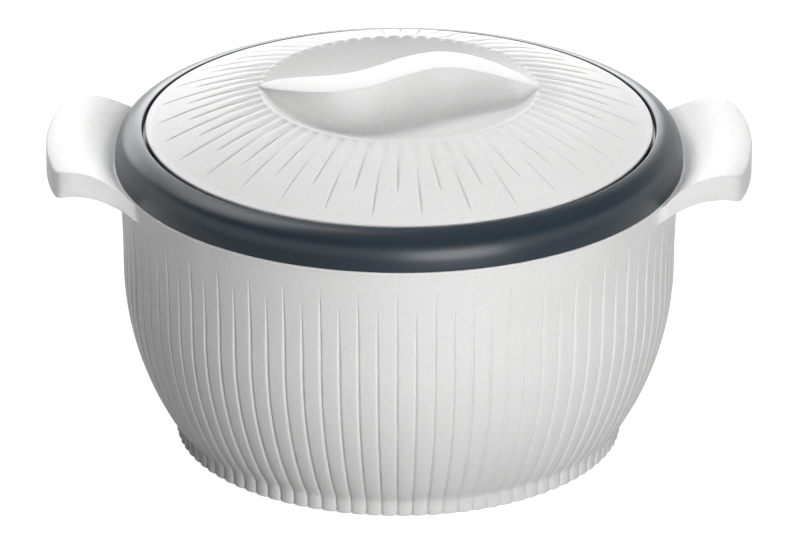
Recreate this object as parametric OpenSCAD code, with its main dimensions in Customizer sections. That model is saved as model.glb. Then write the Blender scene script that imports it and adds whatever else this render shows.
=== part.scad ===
// Insulated bread casserole: fluted double-wall body with a steel bowl and a lift-off lid.
// Millimetres, Z up. Origin: centre of the foot's bottom face. Handles along X, front is -Y.

/* [Body] */
// outside diameter of the lip
lip_d = 270; // [258:1:290]
// height of the lip above the table
body_h = 137; // [125:1:160]
// outside diameter of the foot
foot_d = 212.6; // [196:0.2:220]
// height of the upright part of the foot
foot_h = 7; // [5:0.5:10]
// wall of the moulded shell
wall_t = 2.8; // [2.2:0.1:3.2]

/* [Handles] */
// reach of each handle beyond the lip
handle_reach = 32; // [24:1:40]
// width of a handle where it leaves the body
handle_w = 103; // [80:1:120]
// thickness of a handle
handle_t = 12; // [9:0.5:14]
// rise of a handle above the lip
handle_rise = 12; // [8:0.5:16]

/* [Bowl] */
// inside diameter of the steel bowl
bowl_d = 216; // [190:1:218]
// depth of the bowl below its rim
bowl_deep = 98; // [70:1:102]
// corner radius inside the bowl
bowl_corner = 20; // [10:1:30]
// thickness of the bowl sheet
sheet_t = 0.8; // [0.6:0.1:1.2]

/* [Lid] */
// height of the dark ring above the lip
ring_h = 18.5; // [16:0.5:22]
// width of the ring seen from above
ring_w = 13.5; // [11:0.5:16]
// gap between the ring and the cover
shadow_gap = 2; // [1:0.5:4]
// height of the recess rim above the cover's edge
dome_h = 19.5; // [12:0.5:26]
// extra bulge of the dome between edge and rim
dome_bulge = 1.7; // [0:0.1:4]
// diameter of the round recess
recess_d = 130; // [110:1:140]
// depth of the recess below its rim
recess_deep = 15; // [10:0.5:18]
// height of the grip above the recess rim
grip_h = 10; // [6:0.5:14]
// width of the grip at its middle
grip_w = 24; // [18:1:28]
// how far the S bends to each side
grip_bend = 13; // [8:1:15]
// wall of the mouldings in the lid
lid_t = 2.4; // [1.8:0.1:3]
// how deep the liner's plug reaches below the lip
plug_deep = 13; // [10:1:20]

/* [Fits] */
// clearance between parts that are pressed or bonded together
fit = 0.3; // [0.2:0.05:0.4]
// clearance between the lid's seal and the bowl
seal_gap = 0.4; // [0.3:0.1:0.8]

/* [Hidden] */
$fn = 120;

white = [0.93, 0.93, 0.92];
slate = [0.24, 0.28, 0.32];
steel = [0.75, 0.76, 0.77];
foam_c = [0.93, 0.86, 0.62];
seal_c = [0.82, 0.84, 0.86];

lip_r = lip_d / 2;
foot_r = foot_d / 2;
lip_h = 2.3;
lip_out = 1.6;

// body outline: an arc of arc_r up to the belly, then a slow flare to the lip
belly_r = lip_r - 4;
belly_z = body_h * 0.63;
foot_top = foot_h + 1.5;
belly_in = belly_r - foot_r - 1.3;
belly_rise = belly_z - foot_top;
arc_r = (belly_rise * belly_rise + belly_in * belly_in) / (2 * belly_in);
flare_top = body_h - lip_h;
flare = lip_r - lip_out - belly_r;
function arc_at(z) = belly_r - arc_r + sqrt(arc_r * arc_r - (belly_z - z) * (belly_z - z));
function flare_at(z) = belly_r + flare * pow((z - belly_z) / (flare_top - belly_z), 2);
function body_at(z) = z < belly_z ? arc_at(z) : flare_at(z);
function step(a, b, n) = [for (i = [0:n]) a + (b - a) * i / n];

// rim collar and the bowl's flange
ledge_z = body_h - 13;
rebate_r = lip_r - 4;
skirt_r = rebate_r - 0.15;
flange_z = body_h - 5.2;
bowl_r = bowl_d / 2;
bowl_taper = 1.5;
bowl_bend = 3;
flange_r = bowl_r + 9;
bowl_z = flange_z - bowl_deep;
collar_z = flange_z + 1;

// base
plate_r = foot_r - 3;
plate_z = 6;
plate_t = 2.6;
hole_r = 12;

// lid heights and radii
ring_z = body_h + ring_h;
ring_in = lip_r - ring_w;
shelf_z = ring_z - 5.5;
shelf_r = ring_in - 9.5;
cover_r = ring_in - shadow_gap;
edge_z = ring_z - 1;
recess_r = recess_d / 2;
rim_z = edge_z + dome_h;
deep_z = rim_z - recess_deep;
skin = lid_t;
grip_z = rim_z + grip_h;
dome_r0 = cover_r - 1.5;
dome_z0 = edge_z + 0.4;
function dome_t(r) = (dome_r0 - r) / (dome_r0 - recess_r);
function dome_at(r) = dome_z0 + (rim_z - dome_z0) * dome_t(r) + dome_bulge * 4 * dome_t(r) * (1 - dome_t(r));
function bowl_at(r) = deep_z + recess_deep * pow(r / recess_r, 2.6);

// plug of the liner
plug_z = body_h - plug_deep;
plug_r = bowl_r - 2.5;
plug_t = 3;
liner_t = 2.2;
liner_z = body_h + 0.6;
liner_r = lip_r - 3.3;
seal_z = plug_z + 3.6;
port_r = 9;

// ---------- body ----------

module shell_section() {
    outer = concat([[foot_r - 3, 0], [foot_r - 0.8, 0], [foot_r, 0.8], [foot_r, foot_h], [foot_r + 0.4, foot_h + 0.9]],
                   [for (z = step(foot_top, belly_z, 12)) [arc_at(z), z]],
                   [for (z = step(belly_z + 8, flare_top, 5)) [flare_at(z), z]],
                   [[lip_r - 0.4, flare_top], [lip_r, flare_top + 0.4], [lip_r, body_h - 0.4], [lip_r - 0.4, body_h]]);
    inner = concat([[rebate_r, body_h], [rebate_r, ledge_z], [body_at(ledge_z) - wall_t - 0.4, ledge_z]],
                   [for (z = step(ledge_z - 6, belly_z, 3)) [body_at(z) - wall_t, z]],
                   [for (z = step(belly_z - 7, foot_top + 6, 9)) [arc_at(z) - wall_t, z]],
                   [[foot_r - 3, foot_top + 1.5], [foot_r - 7, foot_top], [foot_r - 7, plate_z], [foot_r - 3, plate_z]]);
    polygon(concat(outer, inner));
}

// handle section: rises from just under the lip, crests, and falls a little to the tip
module handle_section() {
    a = lip_r;
    b = lip_r + handle_reach;
    top = body_h + handle_rise;
    low = top - handle_t;
    polygon([[a - 5, body_h - 1.6], [a - 0.2, body_h - 1.2], [a + 2, body_h + 1], [a + handle_reach * 0.22, top - 5.9],
             [a + handle_reach * 0.36, top - 3], [a + handle_reach * 0.5, top - 1], [a + handle_reach * 0.62, top - 0.1],
             [a + handle_reach * 0.75, top], [a + handle_reach * 0.86, top - 0.7], [a + handle_reach * 0.94, top - 2.2],
             [b - 0.6, top - 3.8], [b, top - 5], [b, top - handle_t - 3], [b - 1, low - 4.2],
             [a + handle_reach * 0.93, low - 2.2], [a + handle_reach * 0.86, low - 0.8], [a + handle_reach * 0.7, low],
             [a + handle_reach * 0.5, low - 0.3], [a + handle_reach * 0.36, low - 1.6], [a + handle_reach * 0.2, low - 4],
             [a + 1, low - 8], [a - 2, low - 9.4], [a - 5, low - 10]]);
}

// plan of one handle, on the +X side
module handle_plan(in = 0) {
    h = handle_w / 2 - in;
    tip = lip_r + handle_reach;
    side = [[lip_r - 25, h + 14], [lip_r - 17.5, h + 11.5], [lip_r - 14, h + 7], [lip_r - 11, h + 4.6], [lip_r - 7, h + 3],
            [lip_r - 3, h + 1.3], [lip_r + 2, h], [tip - 23, h - 2], [tip - 14.5, h - 3.8], [tip - 11.5 - in / 2, h - 4.9],
            [tip - 9 - in / 2, h - 6.6], [tip - 6.8 - in / 2, h - 9.3], [tip - 5 - in / 2, h - 13], [tip - 3.4 - in / 2, h - 18]];
    half = concat(side, [[tip + 2 - in, h - 30], [tip + 2.5 - in, 0.5]]);
    n = len(half);
    polygon(concat([[lip_r - 30, h + 14]], half, [for (i = [n - 1:-1:0]) [half[i][0], -half[i][1]]],
                   [[lip_r - 30, -h - 14]]));
}

module handle_ring() {
    rotate_extrude() handle_section();
}

module handle_solid() {
    intersection() {
        handle_ring();
        linear_extrude(height = body_h + 40) handle_plan();
    }
}

// hollow under the handle, with two ribs left standing
module handle_hollow() {
    low = body_h + handle_rise - handle_t;
    difference() {
        intersection() {
            rotate_extrude()
                polygon([[lip_r + 4, low - 12], [lip_r + 4, low + handle_t - 12], [lip_r + handle_reach * 0.22, low + handle_t - 9],
                         [lip_r + handle_reach * 0.36, low + handle_t - 6.2], [lip_r + handle_reach * 0.6, low + handle_t - 3.4],
                         [lip_r + handle_reach * 0.86, low + handle_t - 3.8], [lip_r + handle_reach - 3, low + handle_t - 7],
                         [lip_r + handle_reach - 3, low - 12]]);
            translate([lip_r + 6, 0, 0]) linear_extrude(height = body_h + 40)
                polygon([[0, -handle_w], [handle_reach, -handle_w], [handle_reach, handle_w], [0, handle_w]]);
            linear_extrude(height = body_h + 40) handle_plan(3);
        }
        for (y = [-17, 17]) translate([lip_r - 20, y - 1, 0]) cube([handle_reach + 40, 2, body_h + 40]);
    }
}

module inside_void() {
    rotate_extrude()
        polygon([[0, foot_top + 4], [foot_r, foot_top + 8], [body_at(body_h * 0.5) - wall_t, body_h * 0.5],
                 [body_at(ledge_z) - wall_t - 0.4, ledge_z - 4], [body_at(ledge_z) - wall_t - 0.4, ledge_z],
                 [rebate_r, ledge_z], [rebate_r, body_h + 30], [0, body_h + 30]]);
}

module outer_shell() {
    color(white) {
        rotate_extrude() shell_section();
        for (a = [0, 180]) rotate([0, 0, a]) difference() {
            handle_solid();
            handle_hollow();
            inside_void();
            // room for the lid's ring above the lip
            translate([0, 0, body_h]) cylinder(r = lip_r - 0.4, h = 40);
        }
    }
}

module bowl_section() {
    r1 = bowl_r - bowl_taper;
    c = bowl_corner;
    t = sheet_t;
    low_in = [for (a = step(-90, 0, 6)) [r1 - c + c * cos(a), bowl_z + c + c * sin(a)]];
    low_out = [for (a = step(0, -90, 6)) [r1 - c + (c + t) * cos(a), bowl_z + c + (c + t) * sin(a)]];
    top_in = [for (a = step(180, 90, 4)) [bowl_r + bowl_bend + bowl_bend * cos(a), flange_z - bowl_bend + bowl_bend * sin(a)]];
    top_out = [for (a = step(90, 180, 4)) [bowl_r + bowl_bend + (bowl_bend - t) * cos(a),
                                           flange_z - bowl_bend + (bowl_bend - t) * sin(a)]];
    polygon(concat([[0, bowl_z]], low_in, top_in, [[flange_r, flange_z], [flange_r, flange_z - t]], top_out, low_out,
                   [[0, bowl_z - t]]));
}

module inner_bowl() {
    color(steel) rotate_extrude() bowl_section();
}

module rim_collar() {
    clip = flange_r + 0.4;
    color(white) rotate_extrude()
        polygon([[bowl_r + 3.4, collar_z], [clip, collar_z], [clip, collar_z - 3.3], [clip + 1.8, collar_z - 3.3],
                 [clip + 1.8, collar_z], [skirt_r - 2.5, collar_z], [skirt_r - 2.5, ledge_z], [skirt_r, ledge_z],
                 [skirt_r, body_h - 1], [skirt_r - 0.6, body_h - 0.5], [bowl_r + 4, collar_z + 2.5],
                 [bowl_r + 2.8, collar_z + 1.8], [bowl_r + 2.8, collar_z + 0.6]]);
}

module rim_gasket() {
    color(seal_c) rotate_extrude()
        translate([bowl_r + 3.8, flange_z]) square([4.6, collar_z - flange_z]);
}

module body_foam() {
    r1 = bowl_r - bowl_taper;
    c = bowl_corner;
    o = sheet_t + fit;
    top = ledge_z - fit;
    color(foam_c) rotate_extrude()
        polygon(concat([[0, plate_z + 2.4], [hole_r + fit, plate_z + 2.4], [hole_r + fit, plate_z + fit],
                        [foot_r - 7 - fit, plate_z + fit], [foot_r - 7 - fit, foot_top + fit],
                        [foot_r - 3.6, foot_top + 1.8]],
                       [for (z = step(foot_top + 6, belly_z - 7, 9)) [arc_at(z) - wall_t - fit, z]],
                       [for (z = step(belly_z, ledge_z - 6, 3)) [body_at(z) - wall_t - fit, z]],
                       [[body_at(ledge_z) - wall_t - 0.4 - fit, top], [skirt_r - 2.5 - fit, top],
                        [skirt_r - 2.5 - fit, collar_z - 3.3 - fit], [bowl_r + o, collar_z - 3.3 - fit]],
                       [for (a = step(0, -90, 6)) [r1 - c + (c + o) * cos(a), bowl_z + c + (c + o) * sin(a)]],
                       [[0, bowl_z - o]]));
}

module base_plate() {
    low = plate_z - plate_t;
    color(white) rotate_extrude()
        polygon([[hole_r, low], [foot_r - 62, low], [foot_r - 61, low - 0.8], [foot_r - 59, low - 0.8], [foot_r - 58, low],
                 [foot_r - 22, low], [foot_r - 21, low - 0.8], [foot_r - 17, low - 0.8], [foot_r - 16, low],
                 [plate_r - 0.15, low], [plate_r - 0.15, plate_z], [hole_r, plate_z]]);
}

module base_plug() {
    low = plate_z - plate_t;
    color(white) rotate_extrude()
        polygon([[0, low - 1], [hole_r + 1.6, low - 1], [hole_r + 2, low - 0.6], [hole_r + 2, low], [hole_r - 0.15, low],
                 [hole_r - 0.15, plate_z + 1.6], [hole_r - 0.7, plate_z + 2], [0, plate_z + 2]]);
}

// ---------- lid ----------

module lid_ring() {
    z = body_h;
    r = lip_r - 0.4;
    color(slate) rotate_extrude()
        polygon([[r, z], [r - 0.3, z + ring_h * 0.27], [r - 1.1, z + ring_h * 0.54], [r - 1.8, z + ring_h * 0.64],
                 [r - 2.7, z + ring_h * 0.72], [r - 4.6, z + ring_h * 0.82], [r - 7.4, z + ring_h * 0.92],
                 [r - 10.4, ring_z - 0.4], [ring_in + 0.8, ring_z], [ring_in + 0.2, ring_z - 0.1], [ring_in, ring_z - 0.5],
                 [ring_in, shelf_z], [shelf_r, shelf_z], [shelf_r, shelf_z - 2], [ring_in + 2.1, shelf_z - 2],
                 [ring_in + 2.1, ring_z - 2.8], [r - 8, z + ring_h * 0.92 - 2.4], [r - 5.5, z + ring_h * 0.82 - 2.2],
                 [r - 3.9, z + ring_h * 0.64 - 1.4], [r - 3.2, z + ring_h * 0.4], [r - 2.6, z + ring_h * 0.2], [r - 2.6, z]]);
}

// S-shaped plan of the grip: a middle line that bends to -Y on the left and +Y on the right
grip_l = recess_r + 1;
function grip_mid(x) = grip_bend * sin(180 * pow(abs(x) / grip_l, 0.72)) * (x < 0 ? -1 : 1);
function grip_half(x, in) = max(0.4, grip_w / 2 * pow(1 - pow(abs(x) / (grip_l + 0.4), 2.4), 0.5) - in);

module grip_plan(in = 0) {
    l = grip_l - in * 1.6;
    xs = step(-l, l, 36);
    polygon(concat([for (x = xs) [x, grip_mid(x) - grip_half(x, in)]],
                   [for (i = [36:-1:0]) [xs[i], grip_mid(xs[i]) + grip_half(xs[i], in)]]));
}

grip_arch = (grip_l * grip_l + 64) / 16;

module grip_prism(in = 0, drop = 0) {
    intersection() {
        translate([0, 0, deep_z - 6]) linear_extrude(height = grip_z - deep_z + 20) grip_plan(in);
        translate([0, 80, grip_z - drop - grip_arch]) rotate([90, 0, 0]) cylinder(r = grip_arch, h = 160, $fn = 240);
    }
}

// space below the cover's skin, out to the edge
module under_section(o = 0) {
    polygon(concat([[0, plug_z], [0, deep_z - skin - o]],
                   [for (r = step(recess_r * 0.2, recess_r - 2.4, 8)) [r, bowl_at(r) - skin - o]],
                   [[recess_r + 1, rim_z - skin - o - 0.6]],
                   [for (r = step(recess_r + 4, cover_r - 3.4, 6)) [r, dome_at(r) - skin - o]],
                   [[cover_r - skin - o, edge_z - 1.8 - o], [cover_r - skin - o, plug_z]]));
}

module cover_section() {
    difference() {
        polygon(concat([[0, shelf_z], [0, deep_z]],
                       [for (r = step(recess_r * 0.2, recess_r - 3, 8)) [r, bowl_at(r)]],
                       [[recess_r - 1.4, rim_z - 0.9], [recess_r - 0.4, rim_z - 0.2], [recess_r + 1, rim_z]],
                       [for (r = step(recess_r + 4, dome_r0, 8)) [r, dome_at(r)]],
                       [[cover_r - 0.5, edge_z - 0.1], [cover_r, edge_z - 0.9], [cover_r, shelf_z]]));
        under_section();
    }
}

module lid_cover() {
    color(white) difference() {
        union() {
            rotate_extrude() cover_section();
            difference() {
                grip_prism();
                rotate_extrude() under_section();
            }
        }
        grip_prism(skin, skin);
    }
}

module lid_foam() {
    z = body_h;
    r = lip_r - 0.4;
    color(foam_c) {
        difference() {
            rotate_extrude() union() {
                intersection() {
                    under_section(fit);
                    translate([0, shelf_z + fit]) square([lip_r, 60]);
                }
                polygon([[0, plug_z + liner_t + fit], [plug_r - plug_t - fit, plug_z + liner_t + fit],
                         [plug_r - plug_t - fit, liner_z + liner_t + fit], [r - 3, liner_z + liner_t + fit],
                         [r - 3.5, z + ring_h * 0.4], [r - 4.3, z + ring_h * 0.64 - 1.7], [r - 5.9, z + ring_h * 0.82 - 2.5],
                         [r - 8.2, z + ring_h * 0.92 - 2.8], [ring_in + 2.1 + fit, ring_z - 3.2],
                         [ring_in + 2.1 + fit, shelf_z - 2 - fit], [shelf_r - fit, shelf_z - 2 - fit],
                         [shelf_r - fit, shelf_z + fit + 0.1], [0, shelf_z + fit + 0.1]]);
            }
            translate([0, 0, plug_z]) cylinder(r = port_r + 2 * fit, h = liner_t + 1.2);
        }
        difference() {
            grip_prism(skin + fit, skin + fit);
            translate([0, 0, deep_z - 30]) cylinder(r = recess_r + 20, h = 22);
        }
    }
}

module lid_liner() {
    color(white) rotate_extrude()
        polygon([[port_r, plug_z], [plug_r - 2, plug_z], [plug_r - 0.6, plug_z + 0.6], [plug_r, plug_z + 2],
                 [plug_r, seal_z - 1.3], [plug_r - 1.5, seal_z - 1.3], [plug_r - 1.5, seal_z + 1.3], [plug_r, seal_z + 1.3],
                 [plug_r, liner_z - 1], [plug_r + 1, liner_z], [liner_r, liner_z], [liner_r, liner_z + liner_t],
                 [plug_r - plug_t, liner_z + liner_t], [plug_r - plug_t, plug_z + liner_t], [port_r, plug_z + liner_t]]);
}

module lid_seal() {
    tip = bowl_r - seal_gap;
    color(seal_c) rotate_extrude()
        polygon([[plug_r - 1.35, seal_z - 1.15], [plug_r + 0.5, seal_z - 1.15], [plug_r + 0.9, seal_z - 0.3],
                 [tip - 0.3, seal_z + 0.1], [tip, seal_z + 0.5], [tip - 0.3, seal_z + 0.9], [plug_r + 0.5, seal_z + 1.15],
                 [plug_r - 1.35, seal_z + 1.15]]);
}

module lid_plug() {
    color(white) rotate_extrude()
        polygon([[0, plug_z - 1.2], [port_r + 1.6, plug_z - 1.2], [port_r + 2.2, plug_z - 0.6], [port_r + 2.2, plug_z],
                 [port_r - 0.15, plug_z], [port_r - 0.15, plug_z + liner_t], [0, plug_z + liner_t]]);
}

outer_shell();
inner_bowl();
rim_collar();
rim_gasket();
body_foam();
base_plate();
base_plug();
lid_ring();
lid_cover();
lid_liner();
lid_seal();
lid_foam();
lid_plug();
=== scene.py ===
import math

import bmesh
import bpy
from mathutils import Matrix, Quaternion, Vector


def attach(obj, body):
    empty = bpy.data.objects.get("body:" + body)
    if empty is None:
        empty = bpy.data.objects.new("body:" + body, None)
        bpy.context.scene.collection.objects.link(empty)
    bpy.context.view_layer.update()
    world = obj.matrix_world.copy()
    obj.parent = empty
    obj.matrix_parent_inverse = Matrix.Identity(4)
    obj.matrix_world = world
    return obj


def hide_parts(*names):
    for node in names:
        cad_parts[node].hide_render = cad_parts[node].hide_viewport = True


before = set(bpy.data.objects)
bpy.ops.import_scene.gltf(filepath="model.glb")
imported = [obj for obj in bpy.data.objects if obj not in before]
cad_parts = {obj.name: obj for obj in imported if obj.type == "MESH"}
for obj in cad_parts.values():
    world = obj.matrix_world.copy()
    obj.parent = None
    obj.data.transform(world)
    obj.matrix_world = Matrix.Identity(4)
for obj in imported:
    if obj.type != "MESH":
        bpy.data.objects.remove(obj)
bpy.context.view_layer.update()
MM = 0.001
TINY = 1e-6

# ---------- sizes in millimetres ----------
# They follow the CAD part, apart from what reads a little differently in the photo: the lip's
# bead, the depth of the recess, the ring's inner edge and the cover's edge.

# body shell: a foot, an arc up to the belly, a flare up to the lip
LIP_R, BODY_H, LIP_H = 135.0, 137.0, 1.7
FOOT_R, FOOT_H = 106.3, 7.0
FOOT_TOP = FOOT_H + 1.5
BELLY_R, BELLY_Z = LIP_R - 4, BODY_H * 0.63
FLARE_TOP = BODY_H - LIP_H
FLARE = LIP_R - 1.6 - BELLY_R
WALL = 2.8
LEDGE_Z = BODY_H - 13
REBATE_R = LIP_R - 4
BELLY_IN = BELLY_R - FOOT_R - 1.3
BELLY_RISE = BELLY_Z - FOOT_TOP
ARC_R = (BELLY_RISE**2 + BELLY_IN**2) / (2 * BELLY_IN)

# flutes of the body: long and short ones by turns, given by the height of their upper end
FLUTES = 92
FLUTE_LONG, FLUTE_SHORT = 125.0, 117.0
FLUTES_TOP = 126

# steel bowl, collar and base plate
FLANGE_Z = BODY_H - 5.2
BOWL_R = 108.0
BOWL_Z = FLANGE_Z - 98
COLLAR_Z = FLANGE_Z + 1
SKIRT_R = REBATE_R - 0.15
PLATE_Z, PLATE_T, HOLE_R = 6.0, 2.6, 12.0

# handles
HANDLE_FROM = 110.0
HANDLE_EDGE = 0.8
TIP_R = LIP_R + 32
POCKET_X = LIP_R + 6
POCKET_RIM, POCKET_ROOF = 2.9, 3.0
RIBS = [(16.0, 18.0), (-18.0, -16.0)]

# lid ring
RING_H = 18.5
RING_Z = BODY_H + RING_H
RING_IN = LIP_R - 13.5
SHELF_Z = RING_Z - 5.5
SHELF_R = RING_IN - 9.5

# lid cover: a dome with a round recess
COVER_R = RING_IN - 1.5
EDGE_Z = RING_Z - 1
SKIN = 2.4
DOME_R0, DOME_Z0 = COVER_R - 1.5, EDGE_Z + 0.25
DOME_SWELL = 1.7
RECESS_R = 65.0
RECESS_DEEP = 13.6
RIM_Z = EDGE_Z + 19.5
DEEP_Z = RIM_Z - RECESS_DEEP

# grooves of the cover: long and short ones by turns, given by the radius of their outer end
GROOVES = 62
GROOVE_LONG, GROOVE_SHORT = 114.0, 101.0
GROOVES_FROM, GROOVES_TO = 60, 118

# grip
GRIP_L = 66.4
GRIP_FOOT_R = 65.2

# lid liner, its seal and its plug
PLUG_Z = BODY_H - 13
PLUG_R = BOWL_R - 2.5
LINER_Z = BODY_H + 0.6
LINER_T = 2.2
LINER_R = LIP_R - 3.3
SEAL_Z = PLUG_Z + 3.6
PORT_R = 9.0


# ---------- curves ----------
def arc_at(z):
    """Radius of the body's arc below the belly at height z."""
    return BELLY_R - ARC_R + math.sqrt(ARC_R**2 - (BELLY_Z - z) ** 2)


def body_at(z):
    """Radius of the plain body at height z."""
    if z < BELLY_Z:
        return arc_at(z)
    return BELLY_R + FLARE * ((z - BELLY_Z) / (FLARE_TOP - BELLY_Z)) ** 2


def step(a, b, n):
    """n + 1 evenly spaced values from a to b."""
    return [a + (b - a) * i / n for i in range(n + 1)]


def clamp(x, lo=0.0, hi=1.0):
    return max(lo, min(hi, x))


def smooth(x):
    x = clamp(x)
    return x * x * (3 - 2 * x)


def lerp_table(x, table):
    """Straight-line value of x in a list of (x, value) pairs."""
    if x <= table[0][0]:
        return table[0][1]
    for (xa, ya), (xb, yb) in zip(table, table[1:]):
        if x <= xb:
            return ya + (yb - ya) * (x - xa) / (xb - xa)
    return table[-1][1]


def curve_table(x, table):
    """Smooth value of x in a list of (x, value) pairs (Catmull-Rom)."""
    if x <= table[0][0]:
        return table[0][1]
    if x >= table[-1][0]:
        return table[-1][1]
    n = len(table)
    i = next(k for k in range(n - 1) if x <= table[k + 1][0])
    (x1, y1), (x2, y2) = table[i], table[i + 1]

    def slope(k):
        a, b = max(0, k - 1), min(n - 1, k + 1)
        return (table[b][1] - table[a][1]) / (table[b][0] - table[a][0])

    h = x2 - x1
    t = (x - x1) / h
    m1, m2 = slope(i) * h, slope(i + 1) * h
    return (
        (2 * t**3 - 3 * t**2 + 1) * y1
        + (t**3 - 2 * t**2 + t) * m1
        + (3 * t**2 - 2 * t**3) * y2
        + (t**3 - t**2) * m2
    )


def fillet(points, closed=True):
    """points are (r, z) or (r, z, radius); corners with a radius become arcs of five pieces."""
    pieces = 5
    out = []
    count = len(points)
    for i, p in enumerate(points):
        rad = p[2] if len(p) > 2 else 0
        if not rad or (not closed and i in (0, count - 1)):
            out.append((p[0], p[1]))
            continue
        corner = Vector((p[0], p[1]))
        a, c = points[(i - 1) % count], points[(i + 1) % count]
        u = Vector((a[0] - p[0], a[1] - p[1]))
        v = Vector((c[0] - p[0], c[1] - p[1]))
        lu, lv = u.length, v.length
        u.normalize()
        v.normalize()
        ang = u.angle(v)
        if ang > math.pi - 0.01:
            out.append((p[0], p[1]))
            continue
        d = min(rad / math.tan(ang / 2), lu * 0.48, lv * 0.48)
        rad = d * math.tan(ang / 2)
        mid = (u + v).normalized()
        centre = corner + mid * (rad / math.sin(ang / 2))
        s, e = corner + u * d, corner + v * d
        a0 = math.atan2(s.y - centre.y, s.x - centre.x)
        a1 = math.atan2(e.y - centre.y, e.x - centre.x)
        while a1 - a0 > math.pi:
            a1 -= 2 * math.pi
        while a1 - a0 < -math.pi:
            a1 += 2 * math.pi
        for t in step(a0, a1, pieces):
            out.append((centre.x + rad * math.cos(t), centre.y + rad * math.sin(t)))
    return out


# ---------- mesh helpers ----------
def finish_mesh(name, verts, faces, mat, weighted=False):
    """An object from points in millimetres, smooth shaded, its normals outwards."""
    me = bpy.data.meshes.new(name)
    me.from_pydata([(x * MM, y * MM, z * MM) for x, y, z in verts], [], faces)
    me.validate()
    bm = bmesh.new()
    bm.from_mesh(me)
    bmesh.ops.remove_doubles(bm, verts=bm.verts, dist=1e-7)
    bmesh.ops.recalc_face_normals(bm, faces=bm.faces)
    for f in bm.faces:
        f.smooth = True
    bm.to_mesh(me)
    bm.free()
    ob = bpy.data.objects.new(name, me)
    bpy.context.scene.collection.objects.link(ob)
    me.materials.append(mat)
    if weighted:
        normals = ob.modifiers.new("weighted_normals", "WEIGHTED_NORMAL")
        normals.weight = 80
        normals.keep_sharp = True
    return ob


def turned_mesh(profile, spots, point_at):
    """Verts and faces of a closed profile turned round Z, with a column of points at each spot.

    point_at(r, z, spot, i) gives radius, height and angle of the profile's point i there.
    """
    verts, starts = [], []
    for i, (r, z) in enumerate(profile):
        starts.append(len(verts))
        if r < TINY:
            verts.append((0, 0, z))
            continue
        for spot in spots:
            rr, zz, a = point_at(r, z, spot, i)
            verts.append((rr * math.sin(a), -rr * math.cos(a), zz))
    faces = []
    m, n = len(profile), len(spots)
    for i in range(m):
        j = (i + 1) % m
        a, b = starts[i], starts[j]
        pole_a, pole_b = profile[i][0] < TINY, profile[j][0] < TINY
        if pole_a and pole_b:
            continue
        for k in range(n):
            l = (k + 1) % n
            if pole_a:
                faces.append((a, b + l, b + k))
            elif pole_b:
                faces.append((a + k, a + l, b))
            else:
                faces.append((a + k, a + l, b + l, b + k))
    return verts, faces


def lathe(name, profile, mat, segs=256):
    """A plain turned piece."""
    angles = [2 * math.pi * k / segs for k in range(segs)]
    v, f = turned_mesh(profile, angles, lambda r, z, a, i: (r, z, a))
    return finish_mesh(name, v, f, mat, weighted=True)


# columns of one groove: 0 its middle, EDGE its edge, 1 the middle of the lobe beside it
EDGE = 0.5
SIDE_COLUMNS = [0.08, 0.24, 0.46, 0.54, 0.62, 0.72, 0.85]
COLUMNS = [-c for c in reversed(SIDE_COLUMNS)] + [0, *SIDE_COLUMNS, 1.0]


def grooved(name, profile, count, cut, mat):
    """A turned piece with count grooves.

    cut(r, z, groove, column, i) gives r, z and the distance from the groove's middle.
    """

    def point_at(r, z, spot, i):
        k, c = spot
        rr, zz, d = cut(r, z, k, c, i)
        return rr, zz, 2 * math.pi * k / count + d / r

    spots = [(k, c) for k in range(count) for c in COLUMNS]
    v, f = turned_mesh(profile, spots, point_at)
    return finish_mesh(name, v, f, mat)


def across(c, width, half):
    """Distance from the groove's middle for column c; width is half the groove's own width."""
    a = abs(c)
    d = width * a / EDGE if a <= EDGE else width + (half - width) * (a - EDGE) / (1 - EDGE)
    return math.copysign(d, c)


def round_lobe(d, half):
    """Depth, 0 to nearly 1, that leaves round lobes between grooves; d from the groove's middle."""
    u = clamp(1 - abs(d) / half)
    return 1 - math.sqrt(1 - 0.98 * u * u)


# ---------- materials ----------
def new_node(nt, kind, **values):
    """A node with some of its inputs set; underscores in their names stand for spaces."""
    n = nt.nodes.new(kind)
    for key, value in values.items():
        n.inputs[key.replace("_", " ")].default_value = value
    return n


def blank_material(name):
    mat = bpy.data.materials.new(name)
    mat.use_nodes = True
    nt = mat.node_tree
    nt.nodes.clear()
    return mat, nt, nt.nodes.new("ShaderNodeOutputMaterial")


def principled(name, color, rough, **more):
    mat, nt, out = blank_material(name)
    bsdf = new_node(
        nt, "ShaderNodeBsdfPrincipled", Base_Color=(*color, 1), Roughness=rough, **more
    )
    nt.links.new(bsdf.outputs["BSDF"], out.inputs["Surface"])
    return mat, nt, bsdf


def coords(nt):
    return nt.nodes.new("ShaderNodeTexCoord").outputs["Object"]


def noise(nt, vec, scale, detail=2.0, rough=0.5):
    n = new_node(nt, "ShaderNodeTexNoise", Scale=scale, Detail=detail, Roughness=rough)
    nt.links.new(vec, n.inputs["Vector"])
    return n.outputs["Fac"]


def ramp(nt, fac, stops):
    """Colour ramp with (position, colour) stops."""
    r = nt.nodes.new("ShaderNodeValToRGB")
    el = r.color_ramp.elements
    el[0].position, el[0].color = stops[0][0], (*stops[0][1], 1)
    el[1].position, el[1].color = stops[-1][0], (*stops[-1][1], 1)
    for pos, col in stops[1:-1]:
        e = el.new(pos)
        e.color = (*col, 1)
    nt.links.new(fac, r.inputs["Fac"])
    return r.outputs["Color"]


def shades(nt, fac, dark, light):
    """Colour that drifts between two close shades with a noise value."""
    return ramp(nt, fac, [(0.3, dark), (0.7, light)])


def map_range(nt, fac, lo, hi):
    m = new_node(nt, "ShaderNodeMapRange", To_Min=lo, To_Max=hi)
    nt.links.new(fac, m.inputs["Value"])
    return m.outputs["Result"]


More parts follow.
